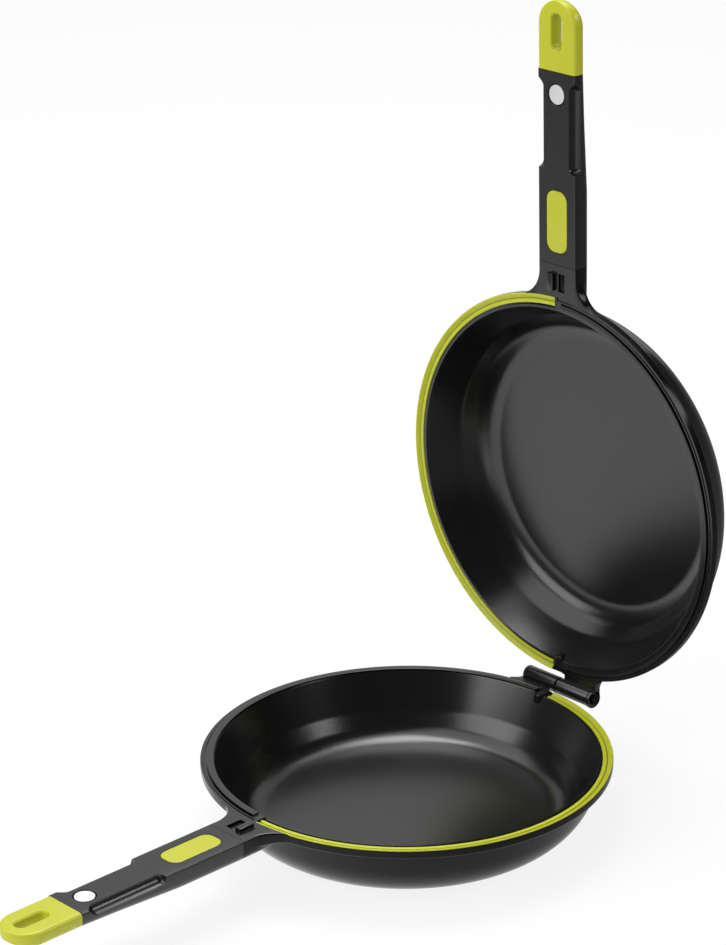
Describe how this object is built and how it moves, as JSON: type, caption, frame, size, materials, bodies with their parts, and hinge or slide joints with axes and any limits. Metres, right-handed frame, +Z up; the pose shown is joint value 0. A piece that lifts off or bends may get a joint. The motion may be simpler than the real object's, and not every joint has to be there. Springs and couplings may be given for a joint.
{
  "type": "double sided flip pan",
  "caption": "Hinged pair of round non-stick frying pans that close rim to rim, each with a flat handle, rim gasket, handle magnet and coloured end cap.",
  "frame": {"origin": "centre of the lower pan's base, on the surface it stands on", "axes": "+Z up, the lower handle points along -X, the hinge pin lies along Y at +X"},
  "size_m": [0.5045, 0.26, 0.5054],
  "materials": {
    "cast_nonstick": "cast aluminium with a charcoal non-stick coat, satin inside and glossy outside",
    "base_steel": "turned ferritic steel disc",
    "lime_silicone": "satin silicone",
    "black_silicone": "satin silicone",
    "black_phenolic": "moulded phenolic, satin",
    "lime_plastic": "moulded, satin",
    "zinc_steel": "zinc plated",
    "black_steel": "drawn steel, black oxide",
    "nickel_magnet": "bright nickel plate"
  },
  "bodies": {
    "lower_half": {"lower_pan_body": "cast_nonstick", "lower_base_disc": "base_steel", "lower_rim_gasket": "lime_silicone", "lower_rim_plug": "black_silicone", "lower_handle_grip": "black_phenolic", "lower_pad_insert": "lime_plastic", "lower_grip_screw_front": "zinc_steel", "lower_grip_screw_rear": "zinc_steel", "lower_magnet": "nickel_magnet", "lower_end_cap": "lime_plastic"},
    "upper_half": {"upper_pan_body": "cast_nonstick", "upper_base_disc": "base_steel", "upper_rim_gasket": "lime_silicone", "upper_rim_plug": "black_silicone", "upper_handle_grip": "black_phenolic", "upper_pad_insert": "lime_plastic", "upper_grip_screw_front": "zinc_steel", "upper_grip_screw_rear": "zinc_steel", "upper_magnet": "nickel_magnet", "upper_end_cap": "lime_plastic", "hinge_pin": "black_steel"}
  },
  "joints": [
    {"name": "hinge", "type": "hinge", "parent": "lower_half", "child": "upper_half", "pos_m": [0.139, 0, 0.0465], "axis": [0, 1, 0], "range_deg": [-89, 0]}
  ]
}
